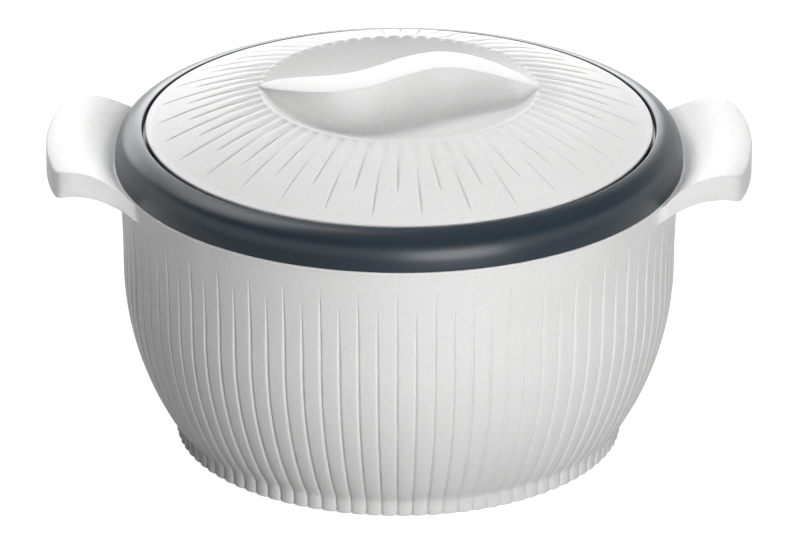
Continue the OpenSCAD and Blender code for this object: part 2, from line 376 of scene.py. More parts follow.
def bump(nt, bsdf, height, strength, distance, before=None):
    """Bump on a material, on top of an earlier one if before is given."""
    b = new_node(nt, "ShaderNodeBump", Strength=strength, Distance=distance)
    nt.links.new(height, b.inputs["Height"])
    if before is not None:
        nt.links.new(before, b.inputs["Normal"])
    nt.links.new(b.outputs["Normal"], bsdf.inputs["Normal"])
    return b.outputs["Normal"]


def white_plastic():
    mat, nt, bsdf = principled(
        "white_plastic", (0.83, 0.83, 0.825), 0.42, Specular_IOR_Level=0.3
    )
    v = coords(nt)
    # faint cloudiness of the moulding, and the fine grain of a spark-eroded tool
    grain = noise(nt, v, 1150, 3, 0.65)
    soft = shades(nt, noise(nt, v, 14, 3), (0.82, 0.82, 0.815), (0.84, 0.84, 0.838))
    speck = ramp(nt, grain, [(0.36, (0.93, 0.93, 0.93)), (0.64, (1.0, 1.0, 1.0))])
    mix = new_node(nt, "ShaderNodeMix", Factor=1.0)
    mix.data_type, mix.blend_type = "RGBA", "MULTIPLY"
    color_a, color_b, result = mix.inputs[6], mix.inputs[7], mix.outputs[2]
    nt.links.new(soft, color_a)
    nt.links.new(speck, color_b)
    nt.links.new(result, bsdf.inputs["Base Color"])
    nt.links.new(map_range(nt, noise(nt, v, 60, 3), 0.38, 0.48), bsdf.inputs["Roughness"])
    first = bump(nt, bsdf, grain, 0.7, 0.00032)
    bump(nt, bsdf, noise(nt, v, 240, 2), 0.12, 0.00008, first)
    return mat


def slate_plastic():
    mat, nt, bsdf = principled(
        "slate_plastic", (0.024, 0.036, 0.047), 0.3, Specular_IOR_Level=0.4
    )
    v = coords(nt)
    color = shades(nt, noise(nt, v, 20, 3), (0.022, 0.034, 0.044), (0.026, 0.038, 0.05))
    nt.links.new(color, bsdf.inputs["Base Color"])
    nt.links.new(map_range(nt, noise(nt, v, 90, 3), 0.27, 0.34), bsdf.inputs["Roughness"])
    bump(nt, bsdf, noise(nt, v, 2200, 2), 0.2, 0.00003)
    return mat


def steel():
    mat, nt, bsdf = principled("steel", (0.62, 0.62, 0.63), 0.24, Metallic=1.0)
    v = coords(nt)
    # turned lines: noise stretched round the axis, by radius and height
    sep = nt.nodes.new("ShaderNodeSeparateXYZ")
    nt.links.new(v, sep.inputs[0])
    rad = nt.nodes.new("ShaderNodeVectorMath")
    rad.operation = "LENGTH"
    flat = nt.nodes.new("ShaderNodeCombineXYZ")
    nt.links.new(sep.outputs[0], flat.inputs[0])
    nt.links.new(sep.outputs[1], flat.inputs[1])
    nt.links.new(flat.outputs[0], rad.inputs[0])
    line = nt.nodes.new("ShaderNodeCombineXYZ")
    nt.links.new(rad.outputs["Value"], line.inputs[0])
    nt.links.new(sep.outputs[2], line.inputs[1])
    lines = noise(nt, line.outputs[0], 1800, 3, 0.6)
    nt.links.new(map_range(nt, lines, 0.16, 0.34), bsdf.inputs["Roughness"])
    color = shades(nt, noise(nt, v, 30, 3), (0.6, 0.6, 0.61), (0.66, 0.66, 0.665))
    nt.links.new(color, bsdf.inputs["Base Color"])
    bump(nt, bsdf, lines, 0.12, 0.00003)
    return mat


def silicone():
    mat, nt, bsdf = principled("silicone", (0.6, 0.61, 0.62), 0.5)
    v = coords(nt)
    color = shades(nt, noise(nt, v, 40, 2), (0.57, 0.58, 0.59), (0.63, 0.64, 0.65))
    nt.links.new(color, bsdf.inputs["Base Color"])
    bump(nt, bsdf, noise(nt, v, 1500, 2), 0.2, 0.00004)
    return mat


def foam():
    mat, nt, bsdf = principled("foam", (0.75, 0.6, 0.32), 0.85)
    cells = new_node(nt, "ShaderNodeTexVoronoi", Scale=900)
    nt.links.new(coords(nt), cells.inputs["Vector"])
    dist = cells.outputs["Distance"]
    color = ramp(nt, dist, [(0.1, (0.7, 0.54, 0.27)), (0.7, (0.8, 0.66, 0.38))])
    nt.links.new(color, bsdf.inputs["Base Color"])
    bump(nt, bsdf, dist, 0.4, 0.0003)
    return mat


WHITE = white_plastic()
SLATE = slate_plastic()
STEEL = steel()
SILICONE = silicone()
FOAM = foam()


# ---------- fluted body shell ----------
# by height: half the width and the depth of a flute, and the depth of the lobes at the foot
FLUTE_WIDE = [(0, 0.7), (12, 0.75), (28, 1.05), (60, 0.95), (125, 0.85)]
FLUTE_DEEP = [(0, 0.35), (12, 0.45), (28, 0.95), (60, 1.02), (125, 0.95)]
FOOT_LOBE = [(0, 1.55), (11, 1.5), (20, 0.95), (34, 0.5), (55, 0.2), (85, 0.0)]


def foot_blend(z):
    """Foot radius going over into the body's arc in a soft hollow."""
    low = FOOT_R - 0.1
    arc = arc_at(z) - 0.9 * (1 - smooth((z - 6) / 10))
    return 0.5 * (low + arc + math.sqrt((low - arc) ** 2 + 2))


def flute_cut(z, k, c, r):
    """Depth of the flutes at one point and its distance from the flute's middle."""
    half = math.pi * r / FLUTES
    left = (FLUTE_LONG if k % 2 == 0 else FLUTE_SHORT) - z
    if left <= 0:
        return 0.0, across(c, 0.1, half)
    # thin and shallow at the upper end, full 26 mm below it
    grow = clamp(left / 26) ** 0.7
    width = lerp_table(z, FLUTE_WIDE) * (0.16 + 0.84 * grow)
    deep = lerp_table(z, FLUTE_DEEP) * (0.08 + 0.92 * grow)
    d = across(c, width, half)
    lobe = lerp_table(z, FOOT_LOBE) * round_lobe(d, half)
    return deep * clamp(1 - abs(d) / width) + lobe, d


def shell_piece():
    outline = fillet(
        [(FOOT_R - 3, 0, 0.5), (FOOT_R, 0, 1.0)]
        + [(FOOT_R, z) for z in (1.5, 3, 4.2)]
        + [(foot_blend(z), z) for z in step(5, 14.6, 16)]
        + [(arc_at(z), z) for z in step(15.4, 30, 11)]
        + [(arc_at(z), z) for z in step(32.5, BELLY_Z, 18)]
        + [(body_at(z), z) for z in step(BELLY_Z + 3, 112, 8)]
        + [(body_at(z), z) for z in step(113, 127, 14)]
        + [(body_at(z), z) for z in (129, 131, 133)]
        + [
            (LIP_R - 1.62, FLARE_TOP, 0.25),
            (LIP_R, FLARE_TOP, 0.4),
            (LIP_R, BODY_H, 0.6),
            (REBATE_R, BODY_H, 0.3),
            (REBATE_R, LEDGE_Z),
            (body_at(LEDGE_Z) - WALL - 0.4, LEDGE_Z),
        ]
        + [(body_at(z) - WALL, z) for z in step(LEDGE_Z - 6, BELLY_Z, 3)]
        + [(arc_at(z) - WALL, z) for z in step(BELLY_Z - 7, FOOT_TOP + 6, 9)]
        + [
            (FOOT_R - 3, FOOT_TOP + 1.5),
            (FOOT_R - 7, FOOT_TOP),
            (FOOT_R - 7, PLATE_Z),
            (FOOT_R - 3, PLATE_Z),
        ]
    )
    # the outer side ends at the lip
    lip_end = max(
        i for i, (r, z) in enumerate(outline) if r > LIP_R - 1.7 and z > FLARE_TOP - 0.3
    )

    def cut(r, z, k, c, i):
        if i <= lip_end and z < FLUTES_TOP and r > FOOT_R - 1.2:
            deep, d = flute_cut(z, k, c, r)
        else:
            deep, d = 0.0, across(c, 0.8, math.pi * r / FLUTES)
        return r - deep, z, d

    return grooved("fluted_shell", outline, FLUTES, cut, WHITE)


# ---------- handles ----------
# by distance from the axis: height of the top and of the underside
HANDLE_TOP = [
    (130.0, 135.4), (134.6, 135.9), (137.0, 138.2), (139.0, 140.6), (142.0, 143.1),
    (146.5, 145.9), (149.0, 147.2), (152.5, 148.4), (156.0, 148.95), (159.5, 149.0),
    (162.5, 148.75), (165.0, 148.2), (167.0, 147.5),
]
HANDLE_LOW = [
    (130.0, 126.2), (133.5, 127.3), (136.0, 129.1), (139.5, 131.8), (142.5, 133.3),
    (146.5, 135.1), (149.0, 136.0), (152.5, 136.7), (156.0, 136.9), (159.5, 136.8),
    (162.5, 136.2), (164.8, 135.2), (167.0, 134.2),
]
# by x: half the width, out to where the tip's round end starts
HANDLE_SIDE = [
    (108.0, 72.6), (112.0, 70.2), (114.0, 68.2), (115.5, 66.3), (117.0, 63.9), (118.3, 61.7),
    (119.3, 60.0), (120.1, 58.6), (121.0, 57.2), (122.2, 56.1), (123.8, 55.5), (126.0, 55.1),
    (129.0, 53.9), (132.0, 52.6), (137.0, 51.3), (144.0, 49.7), (149.0, 48.6), (152.5, 47.8),
    (155.5, 47.0), (158.0, 45.9), (159.6, 44.7), (160.8, 42.9), (161.8, 40.0), (163.5, 33.4),
]
# places of the mesh's points: distances in from the sides, and from the tip
NEAR_SIDE = [0, 0.03, 0.1, 0.22, 0.38, 0.56, 0.78, 1.02, 1.9, 2.85, 2.95, 3.6, 5.5]
NEAR_TIP = [
    6.5, 5.5, 4.5, 3.7, 3.0, 2.95, 2.5, 2.0, 1.5, 1.05, 0.8, 0.58, 0.4, 0.24, 0.12, 0.04,
]


def handle_outline():
    """Points of the outline from the root at -Y round the tip to the root at +Y."""
    x_end, y_end = HANDLE_SIDE[-1]
    side = [(x, -curve_table(x, HANDLE_SIDE)) for x in step(HANDLE_FROM, x_end, 100)]
    turn, far = math.atan2(y_end, x_end), math.hypot(x_end, y_end)
    tip = []
    for t in step(-turn, turn, 60)[1:-1]:
        rad = far + (TIP_R - far) * smooth((1 - abs(t) / turn) / 0.35)
        tip.append((rad * math.cos(t), rad * math.sin(t)))
    return side + tip + [(x, -y) for x, y in reversed(side)]


def half_at(outline, x):
    """Half width of an outline at x."""
    best = 0.0
    for (xa, ya), (xb, yb) in zip(outline, outline[1:]):
        if (xa - x) * (xb - x) <= 0 and xa != xb:
            best = max(best, abs(ya + (yb - ya) * (x - xa) / (xb - xa)))
    return best


def dist_to(outline, x, y):
    """Distance from a point to the stretches of an outline near it."""
    reach = 6
    best = math.inf
    for (xa, ya), (xb, yb) in zip(outline, outline[1:]):
        if abs(xa - x) > reach and abs(xb - x) > reach:
            continue
        ux, uy = xb - xa, yb - ya
        t = clamp(((x - xa) * ux + (y - ya) * uy) / (ux * ux + uy * uy))
        best = min(best, math.hypot(x - xa - t * ux, y - ya - t * uy))
    return best


def handle_columns(outline):
    """(x, list of y) for each row of points across the handle, from the root to the tip."""
    tip = max(x for x, _ in outline)
    xs = step(HANDLE_FROM, tip - 8, 46) + [tip - d for d in NEAR_TIP]
    xs = sorted(xs + [POCKET_X - 0.05, POCKET_X + 0.05])
    columns = []
    for x in xs:
        w = half_at(outline, x)
        # at the tip's narrow end the points crowd together
        outs = []
        for i, d in enumerate(NEAR_SIDE):
            outs.append(min(d, w * (0.04 + 0.9 * i / len(NEAR_SIDE))) if d > w * 0.5 else d)
        ys = [-w + d for d in outs]
        inner = w - outs[-1]
        flat = step(-inner, inner, 26)[1:-1]
        columns.append((x, ys + flat + [-y for y in reversed(ys)]))
    return columns


def handle_piece(name, sign):
    """One handle with rounded edges, hollow from below apart from two ribs; sign 1 is +X."""
    outline = handle_outline()
    verts, tops, lows = [], [], []
    for x, ys in handle_columns(outline):
        top_row, low_row = [], []
        for y in ys:
            r = math.hypot(x, y)
            side = dist_to(outline, x, y)
            d = min(side, HANDLE_EDGE)
            drop = HANDLE_EDGE - math.sqrt(max(0.0, HANDLE_EDGE**2 - (HANDLE_EDGE - d) ** 2))
            top = curve_table(r, HANDLE_TOP)
            low = curve_table(r, HANDLE_LOW) + drop * 0.6
            in_rib = any(a < y < b for a, b in RIBS)
            if side > POCKET_RIM and x > POCKET_X and not in_rib:
                low = top - POCKET_ROOF
            for row, z in ((top_row, top - drop), (low_row, low)):
                row.append(len(verts))
                verts.append((sign * x, sign * y, z))
        tops.append(top_row)
        lows.append(low_row)
    faces = []
    m, n = len(tops), len(tops[0])
    for i in range(m - 1):
        t0, t1, l0, l1 = tops[i], tops[i + 1], lows[i], lows[i + 1]
        for j in range(n - 1):
            faces.append((t0[j], t1[j], t1[j + 1], t0[j + 1]))
            faces.append((l0[j], l0[j + 1], l1[j + 1], l1[j]))
    for i in range(m - 1):
        for j in (0, n - 1):
            a, b, c, d = tops[i][j], tops[i + 1][j], lows[i + 1][j], lows[i][j]
            faces.append((a, d, c, b) if j == 0 else (a, b, c, d))
    for j in range(n - 1):
        faces.append((tops[0][j], tops[0][j + 1], lows[0][j + 1], lows[0][j]))
        faces.append((tops[-1][j], lows[-1][j], lows[-1][j + 1], tops[-1][j + 1]))
    # inside the shell nothing of the handle shows: pull those points into the shell's wall
    pulled = []
    for x, y, z in verts:
        k = max(1.0, (LIP_R - 3) / math.hypot(x, y))
        pulled.append((x * k, y * k, z))
    return finish_mesh(name, pulled, faces, WHITE)


# ---------- lid cover ----------
# by distance from a groove's outer end: half the width and the depth of its thin cut
CUT_WIDE = [(0, 0.2), (4, 0.34), (12, 0.4), (24, 0.36), (54, 0.3)]
CUT_DEEP = [(0, 0), (4.5, 1.2), (16, 1.3), (24, 0.5), (32, 0)]
# by radius: half the width and the depth of the soft valley, and the depth of the back's lobes
VALLEY_WIDE = [(60, 3.2), (74, 3.75), (80, 2.9), (90, 2.1), (100, 1.5), (114, 0.8)]
VALLEY_DEEP = [
    (65.6, 0), (66.4, 0.2), (67.3, 0.9), (69, 1.15), (73, 1.1),
    (80, 0.72), (90, 0.42), (100, 0.26), (114, 0.1),
]
BACK_LOBE = [(63.8, 0), (64.6, 1.5), (65.4, 2.0), (66.4, 1.4), (68, 0.4), (70, 0)]


def dome_at(r):
    """Height of the dome at radius r."""
    t = (DOME_R0 - r) / (DOME_R0 - RECESS_R)
    return DOME_Z0 + (RIM_Z - DOME_Z0) * t + DOME_SWELL * 4 * t * (1 - t)


def bowl_at(r):
    """Height of the recess at radius r."""
    t = r / RECESS_R
    return DEEP_Z + RECESS_DEEP * (0.8 * t**2.6 + 0.2 * t**12)


def rim_at(r):
    """Dome and recess joined over the recess's rounded rim, which stands up a little."""
    a = dome_at(r)
    b = bowl_at(r) if r < RECESS_R else RIM_Z + 1.03 * (r - RECESS_R)
    bead = 0.4 * math.exp(-(((r - RECESS_R - 0.2) / 1.2) ** 2))
    return 0.5 * (a + b - math.sqrt((a - b) ** 2 + 1.4)) + bead


def groove_cut(r, k, c):
    """Depth of the grooves at one point and its distance from the groove's middle."""
    half = math.pi * r / GROOVES
    # 0 at the front, 1 at the back, where the long grooves end a little earlier
    back = 0.5 - 0.5 * math.cos(2 * math.pi * k / GROOVES)
    end = GROOVE_SHORT if k % 2 == 0 else GROOVE_LONG - 6 * smooth(4 * back - 3)
    left = end - r
    if left <= 0:
        return 0.0, across(c, 0.12, half)
    if r < GROOVES_FROM:
        return 0.0, across(c, 0.5, half)
    # a thin cut towards the outer end that runs out in a ramp
    width = lerp_table(left, CUT_WIDE)
    d = across(c, width, half)
    cut = lerp_table(left, CUT_DEEP) * clamp(1 - abs(d) / width) ** 0.7
    # a broad soft valley beside the recess
    valley = lerp_table(r, VALLEY_DEEP) * clamp(left / 6)
    wide = min(half, lerp_table(r, VALLEY_WIDE))
    soft = 0.5 + 0.5 * math.cos(math.pi * clamp(abs(d) / wide))
    # at the back the ridges end in round lobes over the recess
    lobe = smooth(1.3 * back - 0.1) * lerp_table(r, BACK_LOBE)
    return cut + valley * soft + lobe * round_lobe(d, half), d


def cover_piece():
    deepest = DEEP_Z - SKIN
    profile = fillet(
        [
            (COVER_R - SKIN - 1.2, SHELF_Z),
            (COVER_R - 1.5, SHELF_Z),
            (COVER_R - 1.3, EDGE_Z - 2),
            (COVER_R, EDGE_Z - 1.1),
            (COVER_R, EDGE_Z + 0.1, 0.9),
        ]
        + [(r, dome_at(r)) for r in step(DOME_R0 - 1.5, 96, 18)]
        + [(r, dome_at(r)) for r in step(95, 71.2, 16)]
        + [(r, rim_at(r)) for r in step(70, 60, 28)]
        + [(r, bowl_at(r)) for r in step(58.5, 4, 26)]
        + [(0, DEEP_Z), (0, deepest)]
        + [(r, deepest + RECESS_DEEP * (r / RECESS_R) ** 2.6) for r in step(12, RECESS_R - 3, 8)]
        + [(r, dome_at(r) - SKIN) for r in step(RECESS_R + 3, COVER_R - 4, 8)]
        + [(COVER_R - SKIN, EDGE_Z - 1.8)]
    )
    # the upper side goes from the edge, the fourth point, to the first point on the axis
    edge_at = 3
    axis_at = next(i for i, (r, _) in enumerate(profile) if r < TINY)

    def cut(r, z, k, c, i):
        if edge_at <= i < axis_at and r < GROOVES_TO:
            deep, d = groove_cut(r, k, c)
            return r, z - deep, d
        return r, z, across(c, min(0.5, r * 0.02), math.pi * r / GROOVES)

    return grooved("grooved_cover", profile, GROOVES, cut, WHITE)


# ---------- grip ----------
# by distance from the middle along X: how far the grip bends aside, half its width, its top
GRIP_BEND = [
    (0.0, 0.0), (8.0, 6.4), (17.5, 12.3), (28.0, 14.4), (40.0, 12.2), (52.0, 7.2), (60.0, 3.4),
    (66.5, 0.0),
]
GRIP_WIDE = [
    (0.0, 12.3), (10.0, 12.0), (20.0, 11.0), (30.0, 10.3), (40.0, 9.4), (50.0, 7.9),
    (58.0, 5.8), (62.5, 3.7), (65.2, 1.8), (66.5, 0.12),
]
GRIP_TOP = [
    (0.0, 184.0), (17.5, 183.1), (30.0, 181.8), (40.0, 180.4), (52.0, 178.3), (58.0, 176.9),
    (62.5, 175.5), (66.5, 174.1),
]


def under_grip(x, y):
    """Height of the recess under a point of the grip."""
    return bowl_at(min(math.hypot(x, y), GRIP_FOOT_R))


def grip_side(x, side):
    """(y, z) points up one side of the grip, from the recess to the top; side is -1 or 1."""
    half = curve_table(abs(x), GRIP_WIDE)
    mid = math.copysign(curve_table(abs(x), GRIP_BEND), x)
    top = curve_table(abs(x), GRIP_TOP)
    # 1 on the outer side of the bend, which is -Y on the left and +Y on the right
    convex = clamp(0.5 + 0.5 * side * (x / 26))
    # the foot shrinks where the grip gets narrow or low
    scale = clamp(half / 6) * clamp((top - under_grip(x, 0)) / 10)
    foot_out = (3.4 + 0.6 * (1 - convex)) * scale
    rad = (3.0 + 5.0 * (1 - convex)) * scale
    base = under_grip(x, mid + side * (half + foot_out))
    points = []
    # concave foot, from the recess's surface up into the side
    for t in step(0, 1, 8):
        a = t * math.pi / 2
        y = mid + side * (half + foot_out + rad * (1 - math.sin(a)))
        if t == 0:
            z = min(under_grip(x, y) - 0.25, top - 0.3)
        else:
            z = min(base + rad * (1 - math.cos(a)) - 0.2 * (1 - t), top - 0.1)
        points.append((y, z))
    foot_z = points[-1][1]
    edge = min(0.7, half * 0.4)
    edge_z = top - 0.5 * convex * scale - edge
    for t in step(0, 1, 10)[1:]:
        y = mid + side * (half + foot_out * (1 - t) ** 1.3)
        points.append((y, foot_z + (edge_z - foot_z) * t))
    # rounded edge
    for t in step(0, 1, 5)[1:]:
        a = t * math.pi / 2
        y = mid + side * (half - edge * (1 - math.cos(a)))
        points.append((y, edge_z + edge * math.sin(a)))
    return points


def grip_piece():
    """S-shaped grip: two steep sides and a nearly flat top between them."""
    verts, rows = [], []
    for turn in step(-math.pi / 2, math.pi / 2, 120):
        x = GRIP_L * math.sin(turn)
        left, right = grip_side(x, -1), grip_side(x, 1)
        (ya, za), (yb, zb) = left[-1], right[-1]
        top = [
            (ya + (yb - ya) * t, za + (zb - za) * t + 0.25 * math.sin(math.pi * t))
            for t in step(0, 1, 12)[1:-1]
        ]
        line = left + top + right[::-1]
        rows.append(range(len(verts), len(verts) + len(line)))
        verts += [(x, y, z) for y, z in line]
    faces = []
    for a, b in zip(rows, rows[1:]):
        for j in range(len(a) - 1):
            faces.append((a[j], a[j + 1], b[j + 1], b[j]))
    # both ends closed
    faces += [tuple(rows[0][::-1]), tuple(rows[-1])]
    return finish_mesh("s_grip", verts, faces, WHITE)


# ---------- the other turned pieces ----------
def ring_piece():
    z, r = BODY_H, LIP_R - 0.4
    # height above the lip and distance in from the outer side, then the ring's top
    shoulder = [
        (2.5, 0.08), (5, 0.25), (6.5, 0.45), (8, 0.8), (9.3, 1.2), (10.6, 1.72), (11.8, 2.35),
        (12.8, 3.05), (13.6, 3.9), (14.4, 5.0), (15.2, 6.4), (15.95, 8.0), (16.55, 9.8),
        (16.9, 11.5),
    ]
    profile = fillet(
        [(r - 2.6, z), (r, z, 0.4)]
        + [(r - inwards, z + up) for up, inwards in shoulder]
        + [
            (RING_IN + 0.15, z + 17.15, 0.55),
            (RING_IN, SHELF_Z, 0.4),
            (SHELF_R, SHELF_Z),
            (SHELF_R, SHELF_Z - 2),
            (RING_IN + 2.1, SHELF_Z - 2),
            (RING_IN + 2.1, RING_Z - 3.6),
            (r - 8, z + RING_H * 0.92 - 2.9),
            (r - 5.5, z + RING_H * 0.82 - 2.2),
            (r - 3.9, z + RING_H * 0.64 - 1.4),
            (r - 3.2, z + RING_H * 0.4),
            (r - 2.6, z + RING_H * 0.2),
        ]
    )
    return lathe("slate_ring", profile, SLATE, 360)


def arc_points(r, z, rad, a0, a1, n):
    """Points of an arc round (r, z)."""
    return [(r + rad * math.cos(a), z + rad * math.sin(a)) for a in step(a0, a1, n)]


def bowl_piece():
    """Deep-drawn bowl with a round corner below and its edge rolled out into a flange."""
    corner, roll, t = 20.0, 3.0, 0.8
    wall_r, wall_z = BOWL_R - 1.5, BOWL_Z + corner
    corner_r = wall_r - corner
    roll_r, roll_z = BOWL_R + roll, FLANGE_Z - roll
    quarter = math.pi / 2
    inside = (
        [(r, BOWL_Z) for r in (0, 30, 60, 75)]
        + arc_points(corner_r, wall_z, corner, -quarter, 0, 12)
        + [(wall_r + 1.5 * k / 6, wall_z + (roll_z - wall_z) * k / 6) for k in range(1, 6)]
        + arc_points(roll_r, roll_z, roll, 2 * quarter, quarter, 6)
    )
    outside = (
        [(BOWL_R + 9, FLANGE_Z), (BOWL_R + 9, FLANGE_Z - t)]
        + arc_points(roll_r, roll_z, roll - t, quarter, 2 * quarter, 6)
        + arc_points(corner_r, wall_z, corner + t, 0, -quarter, 12)
        + [(0, BOWL_Z - t)]
    )
    return lathe("steel_bowl", inside + outside, STEEL)


def collar_piece():
    clip = BOWL_R + 9.4
    profile = fillet(
        [
            (BOWL_R + 3.4, COLLAR_Z),
            (clip, COLLAR_Z),
            (clip, COLLAR_Z - 3.3),
            (clip + 1.8, COLLAR_Z - 3.3),
            (clip + 1.8, COLLAR_Z),
            (SKIRT_R - 2.5, COLLAR_Z),
            (SKIRT_R - 2.5, LEDGE_Z),
            (SKIRT_R, LEDGE_Z),
            (SKIRT_R, BODY_H - 0.5, 0.6),
            (BOWL_R + 3, COLLAR_Z + 2.5, 1.0),
            (BOWL_R + 2.8, COLLAR_Z, 0.5),
        ]
    )
    return lathe("body_collar", profile, WHITE)


def gasket_piece():
    r, width = BOWL_R + 3.8, 4.6
    profile = fillet(
        [(r, FLANGE_Z, 0.3), (r + width, FLANGE_Z), (r + width, COLLAR_Z), (r, COLLAR_Z, 0.3)]
    )
    return lathe("bowl_gasket", profile, SILICONE)


def base_piece():
    low = PLATE_Z - PLATE_T
    ribs = []
    for r in (FOOT_R - 62, FOOT_R - 21.5):
        ribs += [
            (r, low, 0.3),
            (r + 0.8, low - 0.8, 0.4),
            (r + 3.6, low - 0.8, 0.4),
            (r + 4.4, low, 0.3),
        ]
    edge_r = FOOT_R - 3.15
    profile = fillet(
        [(HOLE_R, low, 0.3)] + ribs + [(edge_r, low, 0.5), (edge_r, PLATE_Z), (HOLE_R, PLATE_Z)]
    )
    return lathe("bottom_plate", profile, WHITE)


def base_plug_piece():
    low = PLATE_Z - PLATE_T
    profile = fillet(
        [
            (0, low - 0.7),
            (4, low - 0.7),
            (5.5, low - 1, 0.6),
            (HOLE_R + 2, low - 1, 0.6),
            (HOLE_R + 2, low),
            (HOLE_R - 0.15, low),
            (HOLE_R - 0.15, PLATE_Z + 2, 0.6),
            (0, PLATE_Z + 2),
        ],
        closed=False,
    )
    return lathe("bottom_plug", profile, WHITE, 96)


def liner_piece():
    t = LINER_T
    profile = fillet(
        [
            (PORT_R, PLUG_Z, 0.3),
            (PLUG_R - 20, PLUG_Z, 0.6),
            (PLUG_R - 19.4, PLUG_Z + 0.5, 0.6),
            (PLUG_R - 12, PLUG_Z + 0.5, 0.6),
            (PLUG_R - 11.4, PLUG_Z, 0.6),
            (PLUG_R, PLUG_Z, 2.2),
            (PLUG_R, SEAL_Z - 1.3),
            (PLUG_R - 1.5, SEAL_Z - 1.3),
            (PLUG_R - 1.5, SEAL_Z + 1.3),
            (PLUG_R, SEAL_Z + 1.3),
            (PLUG_R, LINER_Z, 1.2),
            (LINER_R, LINER_Z, 0.6),
            (LINER_R, LINER_Z + t),
            (PLUG_R - 3, LINER_Z + t),
            (PLUG_R - 3, PLUG_Z + t),
            (PORT_R, PLUG_Z + t),
        ]
    )
    return lathe("inner_plate", profile, WHITE)


def seal_piece():
    tip = BOWL_R - 0.4
    profile = fillet(
        [
            (PLUG_R - 1.35, SEAL_Z - 1.15),
            (PLUG_R + 0.5, SEAL_Z - 1.15, 0.3),
            (PLUG_R + 0.9, SEAL_Z - 0.3, 0.5),
            (tip, SEAL_Z + 0.1, 0.3),
            (tip, SEAL_Z + 0.9, 0.3),
            (PLUG_R + 0.5, SEAL_Z + 1.15, 0.3),
            (PLUG_R - 1.35, SEAL_Z + 1.15),
        ]
    )
    return lathe("plug_seal", profile, SILICONE)


def lid_plug_piece():
    profile = fillet(
        [
            (0, PLUG_Z - 1),
            (3, PLUG_Z - 1),
            (4.5, PLUG_Z - 1.2, 0.5),
            (PORT_R + 2.2, PLUG_Z - 1.2, 0.6),
            (PORT_R + 2.2, PLUG_Z),
            (PORT_R - 0.15, PLUG_Z),
            (PORT_R - 0.15, PLUG_Z + LINER_T),
            (0, PLUG_Z + LINER_T),
        ],
        closed=False,
    )
    return lathe("plate_plug", profile, WHITE, 96)


# ---------- put the pieces on their bodies ----------
def place(piece, body, nodes):
    """Ride a piece on its body, in place of the CAD nodes that it shows."""
    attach(piece, body)
    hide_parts(*nodes)


place(shell_piece(), "base", ["outer_shell"])
place(handle_piece("handle_right", 1), "base", ["outer_shell"])
place(handle_piece("handle_left", -1), "base", ["outer_shell"])
place(bowl_piece(), "base", ["inner_bowl"])
place(collar_piece(), "base", ["rim_collar"])
place(gasket_piece(), "base", ["rim_gasket"])
place(base_piece(), "base", ["base_plate"])
place(base_plug_piece(), "base", ["base_plug"])
place(ring_piece(), "lid", ["lid_ring"])
place(cover_piece(), "lid", ["lid_cover"])
place(grip_piece(), "lid", ["lid_cover"])
place(liner_piece(), "lid", ["lid_liner"])
place(seal_piece(), "lid", ["lid_seal"])
place(lid_plug_piece(), "lid", ["lid_plug"])
# nothing of the foams shows: the CAD solids stay and only take the foam's look
for name in ("body_foam", "lid_foam"):
    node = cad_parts[name]
    node.data.materials.clear()
    node.data.materials.append(FOAM)

# ---------- stage ----------
scene = bpy.context.scene
scene.view_settings.view_transform = "Standard"
WHITE_LIGHT = (1, 1, 1, 1)


def math_node(nt, operation, a, b):
    n = nt.nodes.new("ShaderNodeMath")
    n.operation = operation
    nt.links.new(a, n.inputs[0])
    nt.links.new(b, n.inputs[1])
    return n.outputs[0]


def mix_shader(nt, fac, a, b):
    n = nt.nodes.new("ShaderNodeMixShader")
    nt.links.new(fac, n.inputs[0])
    nt.links.new(a, n.inputs[1])
    nt.links.new(b, n.inputs[2])
    return n.outputs[0]


def seen_straight(nt, path):
    """1 for what the camera sees straight or through something clear."""
    return math_node(
        nt, "MAXIMUM", path.outputs["Is Camera Ray"], path.outputs["Is Transmission Ray"]
    )


def floor_piece():
    """Floor that the camera sees white, and shiny surfaces white behind and dim before."""
    s = 6.0
    me = bpy.data.meshes.new("floor")
    me.from_pydata([(-s, -s, 0), (s, -s, 0), (s, s, 0), (-s, s, 0)], [], [(0, 1, 2, 3)])
    ob = bpy.data.objects.new("floor", me)
    scene.collection.objects.link(ob)
    mat, nt, out = blank_material("floor_white")
    diff = new_node(nt, "ShaderNodeBsdfDiffuse", Color=(0.35, 0.35, 0.35, 1))
    glow = new_node(nt, "ShaderNodeEmission", Color=WHITE_LIGHT, Strength=0.92)
    path = nt.nodes.new("ShaderNodeLightPath")
    spot = nt.nodes.new("ShaderNodeSeparateXYZ")
    nt.links.new(nt.nodes.new("ShaderNodeNewGeometry").outputs["Position"], spot.inputs[0])
    fade = new_node(nt, "ShaderNodeMapRange", From_Min=-0.35, From_Max=0.3, To_Min=0.06)
    nt.links.new(spot.outputs["Y"], fade.inputs["Value"])
    gloss = math_node(nt, "MULTIPLY", path.outputs["Is Glossy Ray"], fade.outputs["Result"])
    white = math_node(nt, "MAXIMUM", seen_straight(nt, path), gloss)
    both = nt.nodes.new("ShaderNodeAddShader")
    nt.links.new(diff.outputs[0], both.inputs[0])
    nt.links.new(glow.outputs[0], both.inputs[1])
    surface = mix_shader(nt, white, diff.outputs[0], both.outputs[0])
    nt.links.new(surface, out.inputs["Surface"])
    me.materials.append(mat)


